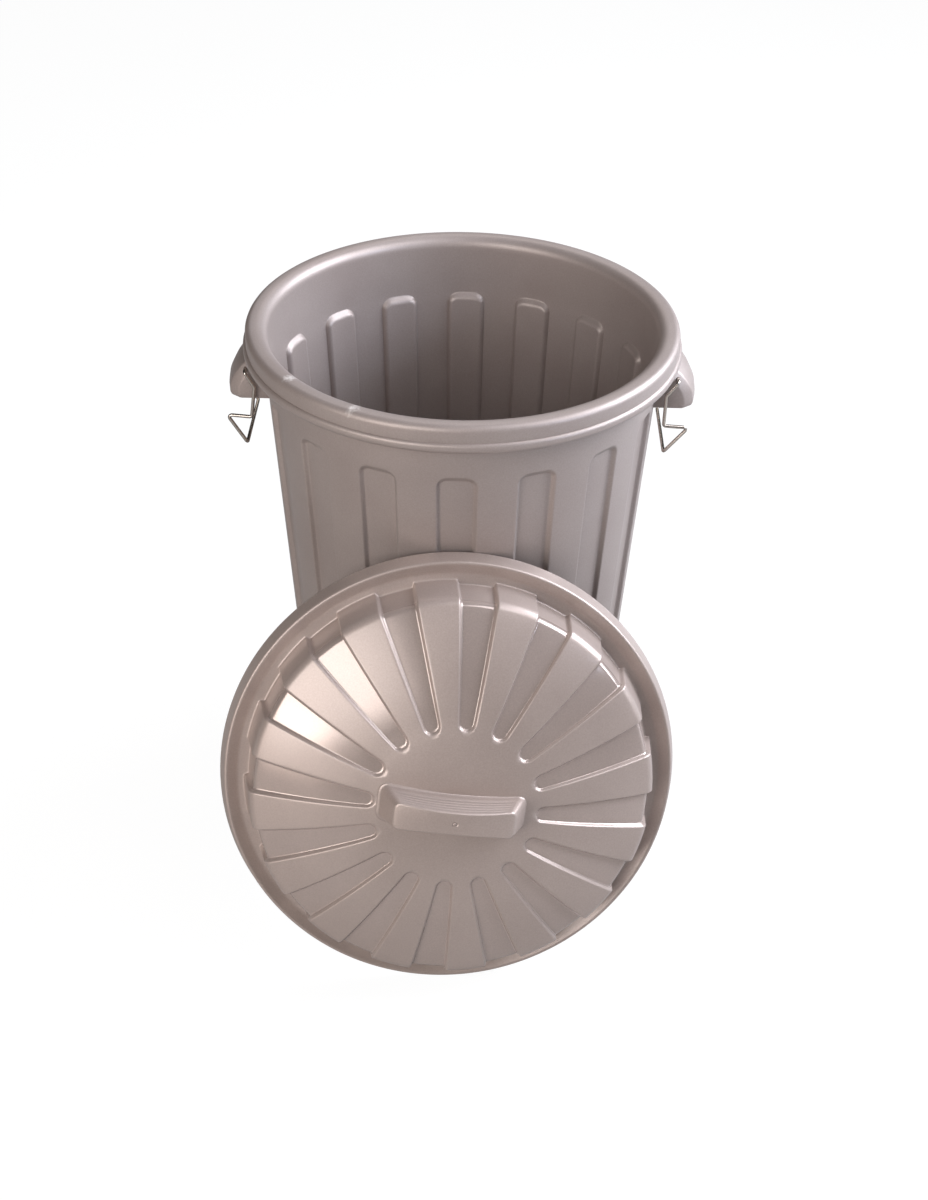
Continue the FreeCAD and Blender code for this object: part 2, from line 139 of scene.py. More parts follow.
def spun_sectors(bm, columns):
    """Spins the profile through one flute's sector, column by column, and copies the sector all round."""
    angles = [-math.radians(a) for a in reversed(columns[1:])] + [math.radians(a) for a in columns]
    bmesh.ops.rotate(bm, matrix=Matrix.Rotation(angles[0], 3, "Z"), verts=bm.verts)
    last = bm.verts[:] + bm.edges[:]
    for here, there in zip(angles, angles[1:]):
        last = bmesh.ops.spin(bm, geom=last, axis=(0, 0, 1), angle=there - here, steps=1)["geom_last"]
    bmesh.ops.spin(bm, geom=bm.verts[:] + bm.edges[:] + bm.faces[:], axis=(0, 0, 1), use_duplicate=True,
                   angle=FLUTE_PITCH * (FLUTE_COUNT - 1), steps=FLUTE_COUNT - 1)
    bmesh.ops.remove_doubles(bm, verts=bm.verts, dist=0.01)
    bmesh.ops.recalc_face_normals(bm, faces=bm.faces)


def off_centre(vert):
    """How far round a vertex lies from the nearest flute's centre line."""
    turn = math.atan2(vert.co.y, vert.co.x)
    return abs((turn + FLUTE_PITCH / 2) % FLUTE_PITCH - FLUTE_PITCH / 2)


def from_edge(across, along, corner):
    """The distance inside two edges that meet in a rounded corner."""
    if across < corner and along < corner:
        return corner - math.hypot(corner - across, corner - along)
    return min(across, along)


def slope(share, softness=0.3):
    """A straight slope from 0 to 1, rounded off at its foot and its top."""
    share = min(max(share, 0), 1)
    rise = min(share, 1 - share)
    if rise < softness:
        rise = rise ** 2 / (2 * softness * (1 - softness))
    else:
        rise = (rise - softness / 2) / (1 - softness)
    return rise if share < 0.5 else 1 - rise


def finished(name, bm, wall=0, edge=0):
    """An object of the mesh, in metres and smooth, with the moulding's thickness and rounded edges."""
    bmesh.ops.scale(bm, vec=(MM, MM, MM), verts=bm.verts)
    for face in bm.faces:
        face.smooth = True
    mesh = bpy.data.meshes.new(name)
    bm.to_mesh(mesh)
    bm.free()
    piece = bpy.data.objects.new(name, mesh)
    bpy.context.scene.collection.objects.link(piece)
    if wall:
        shell = piece.modifiers.new("wall", "SOLIDIFY")
        shell.thickness = wall * MM
        shell.offset = -1
        shell.use_even_offset = True
    if edge:
        rounded = piece.modifiers.new("edges", "BEVEL")
        rounded.width = edge * MM
        rounded.segments = 2
        rounded.limit_method = "ANGLE"
        rounded.angle_limit = SHARP_ANGLE
    return piece


bm = bmesh.new()
profile_wire(bm, TUB_PROFILE)
spun_sectors(bm, TUB_COLUMNS)
if min(bm.faces, key=lambda face: face.calc_center_median().z).normal.z > 0:
    bmesh.ops.reverse_faces(bm, faces=bm.faces)
for vert in bm.verts:
    radius = vert.co.xy.length
    across = (TUB_FLUTE_HALF - off_centre(vert)) * radius
    along = min(TUB_FLUTE_TOP - vert.co.z, vert.co.z - TUB_FLUTE_FOOT)
    endness = min(max((across - along) / TUB_FLUTE_CORNER + 0.5, 0), 1)
    run = TUB_FLUTE_SIDE + (TUB_FLUTE_END - TUB_FLUTE_SIDE) * endness
    depth = TUB_FLUTE_DEPTH * slope(from_edge(across, along, TUB_FLUTE_CORNER) / run)
    vert.co.xy *= 1 - depth / max(radius, 1)
rubbed = bm.verts.layers.float.new("rubbed")
for vert in bm.verts:
    if vert.co.z > RIM_WORN_Z and vert.co.xy.length > NECK_R + 1:
        knocks = [(vert.co - Vector(knock)).length for knock in RIM_KNOCKS]
        vert[rubbed] = RIM_WORN + (1 - RIM_WORN) * max(0, 1 - min(knocks) / KNOCK_R)
    elif vert.co.z < FOOT_WORN_Z and vert.co.xy.length > FOOT_WORN_R:
        vert[rubbed] = FOOT_WORN
tub = finished("tub", bm, wall=TUB_WALL, edge=TUB_EDGE)


def hex_colour(text):
    """An sRGB hex colour as linear RGBA."""
    parts = [int(text[i:i + 2], 16) / 255 for i in (1, 3, 5)]
    return [c / 12.92 if c <= 0.04045 else ((c + 0.055) / 1.055) ** 2.4 for c in parts] + [1]


def add_node(tree, kind, inputs=None, **settings):
    """A shader node with its settings; inputs are values, or sockets to link from."""
    node = tree.nodes.new(kind)
    for key, value in settings.items():
        setattr(node, key, value)
    for key, value in (inputs or {}).items():
        if isinstance(value, bpy.types.NodeSocket):
            tree.links.new(value, node.inputs[key])
        else:
            node.inputs[key].default_value = value
    return node


def polypropylene(name, dark, light, scraped, satin, coat):
    """Moulded polypropylene coloured with silver flake: the skin is satin with a faint grain, and glossier
    where the mould was polished. Its tone clouds where the melt flowed, and rubbed edges are pale and dull."""
    material = bpy.data.materials.new(name)
    material.use_nodes = True
    tree = material.node_tree
    shader = tree.nodes["Principled BSDF"]
    place = add_node(tree, "ShaderNodeTexCoord").outputs["Object"]
    clouds = add_node(tree, "ShaderNodeTexNoise", {"Vector": place, "Scale": 1 / (CLOUD_SIZE * MM), "Detail": 3})
    grain = add_node(tree, "ShaderNodeTexNoise", {"Vector": place, "Scale": 1 / (GRAIN_SIZE * MM), "Detail": 2})
    scrapes = add_node(tree, "ShaderNodeTexNoise", {"Vector": place, "Scale": 1 / (SCRAPE_SIZE * MM), "Detail": 4})
    tone = add_node(tree, "ShaderNodeValToRGB", {"Fac": clouds.outputs["Fac"]})
    tone.color_ramp.elements[0].position = 0.3
    tone.color_ramp.elements[0].color = hex_colour(dark)
    tone.color_ramp.elements[1].position = 0.7
    tone.color_ramp.elements[1].color = hex_colour(light)
    # The flakes are a few tenths of a millimetre, so their glitter is drawn as coarse as the grain, to show.
    glitter = add_node(tree, "ShaderNodeMapRange", {"Value": grain.outputs["Fac"], "To Min": 0.86, "To Max": 1.14})
    flaked = add_node(tree, "ShaderNodeHueSaturation", {"Value": glitter.outputs["Result"],
                                                        "Color": tone.outputs["Color"]})
    # Scrapes come through where the noise is strong on a rubbed part of the skin.
    worn = add_node(tree, "ShaderNodeAttribute", attribute_name="rubbed")
    reached = add_node(tree, "ShaderNodeMath", {0: worn.outputs["Fac"], 1: scrapes.outputs["Fac"]},
                       operation="MULTIPLY")
    scrape = add_node(tree, "ShaderNodeMapRange", {"Value": reached.outputs["Value"], "From Min": 0.22,
                                                   "From Max": 0.5})
    colour = add_node(tree, "ShaderNodeMix", {"Factor": scrape.outputs["Result"], "A": flaked.outputs["Color"],
                                              "B": hex_colour(scraped)}, data_type="RGBA")
    # The roughness follows the clouds, is lower on polished places and higher on scrapes.
    skin = add_node(tree, "ShaderNodeMapRange", {"Value": clouds.outputs["Fac"], "To Min": satin[0],
                                                 "To Max": satin[1]})
    bright = add_node(tree, "ShaderNodeAttribute", attribute_name="polished")
    gloss = add_node(tree, "ShaderNodeMath", {0: bright.outputs["Fac"], 1: POLISHED_CHANGE,
                                              2: skin.outputs["Result"]}, operation="MULTIPLY_ADD")
    dull = add_node(tree, "ShaderNodeMath", {0: scrape.outputs["Result"], 1: SCRAPED_CHANGE,
                                             2: gloss.outputs["Value"]}, operation="MULTIPLY_ADD")
    bump = add_node(tree, "ShaderNodeBump", {"Height": grain.outputs["Fac"], "Strength": 0.12,
                                             "Distance": GRAIN_HEIGHT * MM})
    tree.links.new(colour.outputs["Result"], shader.inputs["Base Color"])
    tree.links.new(dull.outputs["Value"], shader.inputs["Roughness"])
    tree.links.new(bump.outputs["Normal"], shader.inputs["Normal"])
    # The flake makes the plastic partly metallic, and the moulded skin is a thin clear coat over it.
    shader.inputs["Metallic"].default_value = 0.35
    shader.inputs["IOR"].default_value = 1.49
    shader.inputs["Coat Weight"].default_value = coat
    shader.inputs["Coat Roughness"].default_value = 0.18
    return material


tub_plastic = polypropylene("moulded_polypropylene_tub", TUB_DARK, TUB_LIGHT, TUB_SCRAPED, TUB_SATIN, TUB_COAT)
tub.data.materials.append(tub_plastic)
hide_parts("bin_body")
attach(tub, "bin")

# ---------------------------------------------------------------- the ears
# The ears are two hoods moulded in one with the tub, on its neck under the ledge and in its plastic, open below as
# grips. Each has a web at either end, with a chamfer round it, and the wire clip's tails turn in the webs.
EAR_HALF = 44.0
EAR_ROOT_R = 215.0
EAR_PROFILE = [(EAR_ROOT_R, 599), (230, 599), (237, 597.5), (246, 589.5), (253.6, 579.5), (258.6, 569.5), (260, 561),
               (259.8, 556), (258.6, 553)]
EAR_PLAN_R = 150.0
EAR_CHAMFER = 8.0
EAR_ROUNDING = 1.4
EAR_ROW = 8.0

bm = bmesh.new()
end = bm.verts.new((EAR_ROOT_R, -EAR_HALF, EAR_PROFILE[0][1]))
for radius, height in EAR_PROFILE[1:]:
    end = bmesh.ops.extrude_vert_indiv(bm, verts=[end])["verts"][0]
    end.co = (radius, -EAR_HALF, height)
near = bm.edges[:]
far = bmesh.ops.extrude_edge_only(bm, edges=near)["geom"]
bmesh.ops.translate(bm, vec=(0, 2 * EAR_HALF, 0),
                    verts=[part for part in far if isinstance(part, bmesh.types.BMVert)])
outline = near + [edge for edge in bm.edges if all(vert.co.y > 0 for vert in edge.verts)]
for side in (-1, 1):
    bm.verts.new((EAR_ROOT_R, side * EAR_HALF, EAR_PROFILE[-1][1]))
    bmesh.ops.contextual_create(bm, geom=[vert for vert in bm.verts if vert.co.y * side > 0])
chamfers = bmesh.ops.bevel(bm, geom=outline, offset=EAR_CHAMFER, offset_type="OFFSET", segments=1, profile=0.5,
                           affect="EDGES", material=-1)["faces"]
sides = [edge for edge in bm.edges if len(edge.link_faces) == 2
         and len([face for face in edge.link_faces if face in chamfers]) == 1]
bmesh.ops.bevel(bm, geom=sides, offset=EAR_ROUNDING, offset_type="OFFSET", segments=3, profile=0.5, affect="EDGES",
                material=-1)
for step in range(-5, 6):
    bmesh.ops.bisect_plane(bm, geom=bm.verts[:] + bm.edges[:] + bm.faces[:], plane_co=(0, step * EAR_ROW, 0),
                           plane_no=(0, 1, 0))
for vert in bm.verts:
    curve = NECK_R if vert.co.x < EAR_ROOT_R + 1 else EAR_PLAN_R
    vert.co.x -= curve - math.sqrt(curve ** 2 - vert.co.y ** 2)
bmesh.ops.recalc_face_normals(bm, faces=bm.faces)
if max(bm.faces, key=lambda face: face.calc_center_median().x).normal.x < 0:
    bmesh.ops.reverse_faces(bm, faces=bm.faces)
other = bmesh.ops.duplicate(bm, geom=bm.verts[:] + bm.edges[:] + bm.faces[:])["geom"]
bmesh.ops.rotate(bm, matrix=Matrix.Rotation(math.pi, 3, "Z"),
                 verts=[part for part in other if isinstance(part, bmesh.types.BMVert)])
ears = finished("ears", bm, wall=TUB_WALL, edge=TUB_EDGE)
ears.data.materials.append(tub_plastic)
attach(ears, "bin")

# ---------------------------------------------------------------- the clips
# Each clip is a bail of 4 mm spring steel wire, bright zinc plated: tails turned inwards through the ear's
# webs, legs jogged to a hook that catches the lid's edge, and a finger bar across the bottom.
WIRE_R = 2.0
WIRE_SIDES = 14
WIRE_BEND = 3.0
WIRE_COLOUR = "#bdb4ab"
# The plating's haze comes and goes along the wire.
HAZE_SIZE = 6.0
LEFT_SWING = math.radians(7.5)
PIVOT = Vector((236.5, 0, 587.5))
LEG_Y = 49.23
CLIP_HALF = [(0, 36, 0), (0, LEG_Y, 0), (-12, LEG_Y, -17), (-12, LEG_Y, -54), (15.5, LEG_Y, -55.5),
             (-9.5, LEG_Y, -87)]


def bent_wire(bm, points):
    """Extrudes a wire's round section along straight runs and spins it round each bend."""
    points = [Vector(point) for point in points]
    turned = (points[1] - points[0]).to_track_quat("Z", "Y").to_matrix().to_4x4()
    ring = bmesh.ops.create_circle(bm, segments=WIRE_SIDES, radius=WIRE_R,
                                   matrix=Matrix.Translation(points[0]) @ turned)
    first = loop = list({edge for vert in ring["verts"] for edge in vert.link_edges})
    place = points[0]
    for corner, after in zip(points[1:], points[2:] + [None]):
        along = (corner - place).normalized()
        turn = along.angle(after - corner) if after else 0
        reach = corner - along * WIRE_BEND * math.tan(turn / 2)
        moved = bmesh.ops.extrude_edge_only(bm, edges=loop)["geom"]
        bmesh.ops.translate(bm, vec=reach - place, verts=[g for g in moved if isinstance(g, bmesh.types.BMVert)])
        loop = [g for g in moved if isinstance(g, bmesh.types.BMEdge)]
        loop = [edge for edge in loop if all(vert in moved for vert in edge.verts)]
        place = reach
        if after:
            axis = along.cross(after - corner).normalized()
            centre = place + axis.cross(along) * WIRE_BEND
            round_geom = loop + list({vert for edge in loop for vert in edge.verts})
            last = bmesh.ops.spin(bm, geom=round_geom, cent=centre, axis=axis, angle=turn,
                                  steps=ROUND_STEPS)["geom_last"]
            loop = [g for g in last if isinstance(g, bmesh.types.BMEdge)]
            place = centre + Matrix.Rotation(turn, 3, axis) @ (place - centre)
    bmesh.ops.edgeloop_fill(bm, edges=first)
    bmesh.ops.edgeloop_fill(bm, edges=loop)
    bmesh.ops.recalc_face_normals(bm, faces=bm.faces)


def zinc_wire():
    """Bright zinc plated steel: a hard mirror with slightly uneven gloss along the drawn wire."""
    material = bpy.data.materials.new("bright_zinc_plated_steel_wire")
    material.use_nodes = True
    tree = material.node_tree
    shader = tree.nodes["Principled BSDF"]
    place = add_node(tree, "ShaderNodeTexCoord").outputs["Object"]
    haze = add_node(tree, "ShaderNodeTexNoise", {"Vector": place, "Scale": 1 / (HAZE_SIZE * MM), "Detail": 3})
    gloss = add_node(tree, "ShaderNodeMapRange", {"Value": haze.outputs["Fac"], "To Min": 0.1, "To Max": 0.26})
    tree.links.new(gloss.outputs["Result"], shader.inputs["Roughness"])
    shader.inputs["Base Color"].default_value = hex_colour(WIRE_COLOUR)
    shader.inputs["Metallic"].default_value = 1
    return material


clip_wire = zinc_wire()
for name, facing, swing in (("right_clip", 0, 0), ("left_clip", math.pi, LEFT_SWING)):
    bm = bmesh.new()
    bent_wire(bm, CLIP_HALF + [(x, -y, z) for x, y, z in reversed(CLIP_HALF)])
    swung = Matrix.Rotation(-swing, 4, "Y")
    bmesh.ops.transform(bm, matrix=Matrix.Rotation(facing, 4, "Z") @ Matrix.Translation(PIVOT) @ swung,
                        verts=bm.verts)
    clip = finished(f"{name}_wire", bm)
    clip.data.materials.append(clip_wire)
    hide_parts(name)
    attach(clip, name)

# ---------------------------------------------------------------- the lid
# The lid is a second moulding in the same plastic: a flared skirt, a gutter, and a steep wall up to a
# shallow dome with sixteen sunk radial flutes. It leans on the tub, standing on its edge.
LID_SHELL = 2.5
LID_R = 248.0
CREST_R = 242.0
CREST_Z = 20.0
GUTTER_Z = 13.0
DOME_BASE_R = 221.5
DOME_R = 214.5
DOME_SPHERE_R = 520.0
DOME_APEX = GUTTER_Z + 47 + DOME_SPHERE_R - math.sqrt(DOME_SPHERE_R ** 2 - DOME_R ** 2)
LID_FLUTE_HALF = math.radians(5.1)
LID_FLUTE_TIP = 85.4
LID_FLUTE_DEPTH = (3.2, 5.2)
LID_FLUTE_SLOPE = 3.4
LID_EDGE = 0.6
# No flute comes nearer to the middle than the hub. Above the shoulder's foot a flute is sunk square to the dome and
# its floor is polished; on the steep wall below, it is sunk straight inwards.
HUB_R = 70.0
SHOULDER_FOOT_Z = 45.0
# The hollow under the handle, as half a length and half a width, and the part of the dome that is cut for it.
HANDLE_OPENING = (66.0, 14.0)
OPENING_CUT_R = 110.0
# The lower edge of the skirt, which the lid stands on, is rubbed.
SKIRT_WORN_Z = 3.0
SKIRT_WORN = 0.45
# The same plastic as the tub in a slightly lighter batch, with more gloss.
LID_DARK = "#a5968f"
LID_LIGHT = "#ac9d96"
LID_SCRAPED = "#d2c9c4"
LID_SATIN = (0.37, 0.45)
LID_COAT = 0.25
# Columns of one flute's half sector, in degrees, as for the tub.
LID_COLUMNS = [0, 1, 1.9, 2.5, 2.95, 3.35, 3.7, 4, 4.3, 4.55, 4.8, 5.05, 5.3, 5.55, 5.85, 6.5, 8, 9.6, 11.25]
# Where the lid leans: the middle of its edge, the dome's axis, the level direction across it, and its roll.
LID_CENTRE = Vector((-3.0, -292.43, 234.91))
LID_AXIS = Vector((0.0974, -0.9422, 0.3206)).normalized()
LID_ACROSS = Vector((0.9947, 0.1028, 0)).normalized()
LID_ROLL = math.radians(-8.2)


def dome_z(radius):
    """The dome's outer height at a radius, in the lid's own frame."""
    return DOME_APEX - DOME_SPHERE_R + math.sqrt(DOME_SPHERE_R ** 2 - radius ** 2)


# The outer face from the skirt's edge to the apex, in the lid's own frame, as in the tub's profile.
LID_PROFILE = [
    (LID_R, 0, 0, 1),
    (246.5, 5, 0, 1),
    (CREST_R + 1.6, 15, 0, 0),
    (CREST_R, CREST_Z, 2.6, 0),
    (237, 17.2, 0, 0),
    (229, GUTTER_Z, 9, 0),
    (DOME_BASE_R, GUTTER_Z, 2.4, 0),
    (219.5, 26, 0, 1),
    (216.7, 45, 0, 0),
    (DOME_R, 60, 13, 0),
] + [(r, dome_z(r), 0, 0) for r in (202, 195, 184, 170, 155, 140, 126, 116)] + [
    (109, dome_z(109), 0, 13),
    (84, dome_z(84), 0, 0),
    (80, dome_z(80), 0, 0)] + [(r, dome_z(r), 0, 0) for r in (72, 60, 45, 30, 14)] + [(0, DOME_APEX, 0, 0)]
TIP_CENTRE = LID_FLUTE_TIP / (1 - math.sin(LID_FLUTE_HALF))
TIP_R = TIP_CENTRE * math.sin(LID_FLUTE_HALF)

up = LID_AXIS.cross(LID_ACROSS)
handle_axis = LID_ACROSS * math.cos(LID_ROLL) + up * math.sin(LID_ROLL)
LID_PLACE = Matrix.Translation(LID_CENTRE) @ Matrix((handle_axis, LID_AXIS.cross(handle_axis),
                                                     LID_AXIS)).transposed().to_4x4()

bm = bmesh.new()
profile_wire(bm, LID_PROFILE)
spun_sectors(bm, LID_COLUMNS)
if max(bm.faces, key=lambda face: face.calc_center_median().z).normal.z < 0:
    bmesh.ops.reverse_faces(bm, faces=bm.faces)
bm.normal_update()
polished = bm.verts.layers.float.new("polished")
for vert in bm.verts:
    radius = vert.co.xy.length
    turn = off_centre(vert)
    if not HUB_R < radius < DOME_BASE_R + 3:
        continue
    along = radius * math.cos(turn)
    if along < TIP_CENTRE * math.cos(LID_FLUTE_HALF) ** 2:
        inside = TIP_R - math.hypot(along - TIP_CENTRE, radius * math.sin(turn))
    else:
        inside = radius * math.sin(LID_FLUTE_HALF - turn)
    outness = min(max((radius - LID_FLUTE_TIP) / (DOME_R - LID_FLUTE_TIP), 0), 1)
    floor = LID_FLUTE_DEPTH[0] + (LID_FLUTE_DEPTH[1] - LID_FLUTE_DEPTH[0]) * outness
    sunk = slope(inside / LID_FLUTE_SLOPE + 0.5)
    depth = floor * sunk
    vert[polished] = sunk if vert.co.z > SHOULDER_FOOT_Z else 0
    outward = Vector((vert.co.x, vert.co.y, 0)).normalized()
    vert.co -= depth * (vert.normal if vert.co.z > SHOULDER_FOOT_Z else outward)
for side in (-1, 1):
    for normal, reach in (((1, 0, 0), HANDLE_OPENING[0]), ((0, 1, 0), HANDLE_OPENING[1])):
        geom = [face for face in bm.faces if face.calc_center_median().xy.length < OPENING_CUT_R]
        geom += list({edge for face in geom for edge in face.edges})
        bmesh.ops.bisect_plane(bm, geom=geom, plane_co=Vector(normal) * reach * side, plane_no=normal)
hole = [face for face in bm.faces if abs(face.calc_center_median().x) < HANDLE_OPENING[0]
        and abs(face.calc_center_median().y) < HANDLE_OPENING[1]]
bmesh.ops.delete(bm, geom=hole, context="FACES")
rubbed = bm.verts.layers.float.new("rubbed")
for vert in bm.verts:
    vert[rubbed] = SKIRT_WORN if vert.co.z < SKIRT_WORN_Z else 0
bmesh.ops.transform(bm, matrix=LID_PLACE, verts=bm.verts)
lid = finished("lid_shell", bm, wall=LID_SHELL, edge=LID_EDGE)
lid_plastic = polypropylene("moulded_polypropylene_lid", LID_DARK, LID_LIGHT, LID_SCRAPED, LID_SATIN, LID_COAT)
lid.data.materials.append(lid_plastic)
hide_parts("lid")
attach(lid, "lid")

# ---------------------------------------------------------------- the handle
# The handle is moulded in one with the lid, in its plastic: a hollow bar, open below, with drafted ends, a waisted and
# arched top, and fine grip lines along its sides.
HANDLE_TOP = DOME_APEX + 26.4
HANDLE_ROOT = DOME_APEX - 7
HANDLE_HALF = (62.5, 15.2)
HANDLE_CORNER = 7.0
HANDLE_EDGE = 2.0
HANDLE_ARCH = 9.0
HANDLE_WAIST = 3.0
HANDLE_FILLET = 2.8
HANDLE_END_DRAFT = math.tan(math.radians(22.4))
HANDLE_SIDE_DRAFT = math.tan(math.radians(7.5))
# The bar stands slightly off the middle of the lid.
HANDLE_SHIFT = Vector((-3.5, 0.6, 0))
# Cross cuts along the bar, and rows above its root where the fillet turns.
HANDLE_CUTS = [5 * step for step in range(-11, 12) if step]
FILLET_ROWS = (0.4, 0.9, 1.6, 2.5, 3.8, 5.5)
GRIP_COUNT = 5
GRIP_START = 5.0
GRIP_PITCH = 4.4
GRIP_LINES = [HANDLE_TOP - GRIP_START - GRIP_PITCH * step for step in range(GRIP_COUNT)]
GRIP_HALF = 1.1
GRIP_DEPTH = 0.9
GRIP_REACH = 0.88
GATE_HALF = 3.4
GATE_INSET = 0.2
GATE_ROUNDING = 1.9
# The gate mark's rings from outside in, as (width, rise).
GATE_RINGS = ((0.6, -0.7), (1.1, 0.1), (0.4, 0.55))

bm = bmesh.new()
bmesh.ops.create_cube(bm, size=2)
bmesh.ops.scale(bm, vec=(HANDLE_HALF[0], HANDLE_HALF[1], (HANDLE_TOP - HANDLE_ROOT) / 2), verts=bm.verts)
bmesh.ops.translate(bm, vec=(0, 0, (HANDLE_TOP + HANDLE_ROOT) / 2), verts=bm.verts)
bottom = min(bm.faces, key=lambda face: face.calc_center_median().z)
bmesh.ops.delete(bm, geom=[bottom], context="FACES_ONLY")
upright = [edge for edge in bm.edges if abs(edge.verts[0].co.z - edge.verts[1].co.z) > 1]
bmesh.ops.bevel(bm, geom=upright, offset=HANDLE_CORNER, segments=5, profile=0.5, affect="EDGES", material=-1)
rim = [edge for edge in bm.edges if all(vert.co.z > HANDLE_TOP - 0.1 for vert in edge.verts)]
bmesh.ops.bevel(bm, geom=rim, offset=HANDLE_EDGE, segments=4, profile=0.5, affect="EDGES", material=-1)
cuts = [((x, 0, 0), (1, 0, 0)) for x in HANDLE_CUTS + [-GATE_HALF, GATE_HALF]]
cuts += [((0, 0, line + offset), (0, 0, 1)) for line in GRIP_LINES for offset in (-GRIP_HALF, 0, GRIP_HALF)]
cuts += [((0, 0, HANDLE_ROOT + rise), (0, 0, 1)) for rise in FILLET_ROWS]
for point, normal in cuts:
    bmesh.ops.bisect_plane(bm, geom=bm.verts[:] + bm.edges[:] + bm.faces[:], plane_co=point, plane_no=normal)
# The gate mark in the middle of the top, a round dimple with the nub that is left where the sprue broke off.
for side in (-1, 1):
    middle = [face for face in bm.faces if face.normal.z > 0.9 and abs(face.calc_center_median().x) < GATE_HALF]
    middle += list({edge for face in middle for edge in face.edges})
    bmesh.ops.bisect_plane(bm, geom=middle, plane_co=(0, side * GATE_HALF, 0), plane_no=(0, 1, 0))
gate = min(bm.faces, key=lambda face: (face.calc_center_median() - Vector((0, 0, HANDLE_TOP))).length)
bmesh.ops.inset_individual(bm, faces=[gate], thickness=GATE_INSET)
bmesh.ops.bevel(bm, geom=gate.verts[:], offset=GATE_ROUNDING, segments=2, profile=0.5, affect="VERTICES",
                material=-1)
gate = min(bm.faces, key=lambda face: (face.calc_center_median() - Vector((0, 0, HANDLE_TOP))).length)
for thickness, depth in GATE_RINGS:
    bmesh.ops.inset_individual(bm, faces=[gate], thickness=thickness, depth=depth)
for vert in bm.verts:
    share = vert.co.x / HANDLE_HALF[0]
    rise = (vert.co.z - HANDLE_ROOT) / (HANDLE_TOP - HANDLE_ROOT)
    below = HANDLE_TOP - vert.co.z
    grooved = any(abs(vert.co.z - line) < 0.01 for line in GRIP_LINES) and abs(share) < GRIP_REACH
    narrow = HANDLE_WAIST * (1 - share ** 2) + (GRIP_DEPTH if grooved else 0)
    vert.co.x *= 1 + below * HANDLE_END_DRAFT / HANDLE_HALF[0]
    vert.co.y *= 1 + (below * HANDLE_SIDE_DRAFT - narrow) / HANDLE_HALF[1]
    root = dome_z(vert.co.xy.length) - LID_SHELL / 4
    vert.co.z = root + (HANDLE_TOP + HANDLE_ARCH * (1 - share ** 2) - root) * rise
bmesh.ops.recalc_face_normals(bm, faces=bm.faces)
if max(bm.faces, key=lambda face: face.calc_center_median().z).normal.z < 0:
    bmesh.ops.reverse_faces(bm, faces=bm.faces)
bm.normal_update()
for vert in bm.verts:
    above = max(vert.co.z - dome_z(vert.co.xy.length) + LID_SHELL / 4, 0)
    if above < HANDLE_FILLET:
        flare = HANDLE_FILLET - math.sqrt(HANDLE_FILLET ** 2 - (HANDLE_FILLET - above) ** 2)
        vert.co.xy += vert.normal.xy.normalized() * flare
bmesh.ops.transform(bm, matrix=LID_PLACE @ Matrix.Translation(HANDLE_SHIFT), verts=bm.verts)
handle = finished("lid_handle", bm, wall=LID_SHELL)
handle.data.materials.append(lid_plastic)
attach(handle, "lid")

# ---------------------------------------------------------------- floor, light and camera
# A plain paper floor that runs out of sight, soft lamps on the left, on the right, above and behind, a narrow one into
# the tub's mouth, and the camera where the photograph was taken. The sizes in this section are in metres.
FLOOR_HALF = 6.0
FLOOR_COLOUR = "#9f9e9d"
# The paper is pale grey under the lamps. The camera sees it mostly as white, with the object's shadow left on it, and
# a reflection sees a little of that white.
FLOOR_WHITE = 0.8
FLOOR_MIRRORED = 0.1
FLOOR_GLOW = 1.19
SKY_STRENGTH = 0.05

bm = bmesh.new()
bmesh.ops.create_grid(bm, x_segments=2, y_segments=2, size=FLOOR_HALF / MM)
floor = finished("floor", bm)
paper = bpy.data.materials.new("white_paper_floor")
paper.use_nodes = True
tree = paper.node_tree
matt = tree.nodes["Principled BSDF"]
matt.inputs["Base Color"].default_value = hex_colour(FLOOR_COLOUR)
matt.inputs["Roughness"].default_value = 0.9
glow = add_node(tree, "ShaderNodeEmission", {"Color": hex_colour("#ffffff"), "Strength": FLOOR_GLOW})
path = add_node(tree, "ShaderNodeLightPath")
reflected = add_node(tree, "ShaderNodeMath", {0: path.outputs["Is Glossy Ray"], 1: FLOOR_MIRRORED},
                     operation="MULTIPLY")
share = add_node(tree, "ShaderNodeMath", {0: path.outputs["Is Camera Ray"], 1: FLOOR_WHITE,
                                          2: reflected.outputs["Value"]}, operation="MULTIPLY_ADD")
mixed = add_node(tree, "ShaderNodeMixShader", {"Fac": share.outputs["Value"], 1: matt.outputs["BSDF"],
                                               2: glow.outputs["Emission"]})
tree.links.new(mixed.outputs["Shader"], tree.nodes["Material Output"].inputs["Surface"])
floor.data.materials.append(paper)

# The world is a dim white, and white to the camera.
world = bpy.data.worlds.new("studio")
bpy.context.scene.world = world
world.use_nodes = True
tree = world.node_tree
sky = tree.nodes["Background"]
sky.inputs["Color"].default_value = hex_colour("#ffffff")
sky.inputs["Strength"].default_value = SKY_STRENGTH
white = add_node(tree, "ShaderNodeBackground", {"Color": hex_colour("#ffffff"), "Strength": 1.0})
path = add_node(tree, "ShaderNodeLightPath")
mixed = add_node(tree, "ShaderNodeMixShader", {"Fac": path.outputs["Is Camera Ray"], 1: sky.outputs["Background"],
                                               2: white.outputs["Background"]})
tree.links.new(mixed.outputs["Shader"], tree.nodes["World Output"].inputs["Surface"])

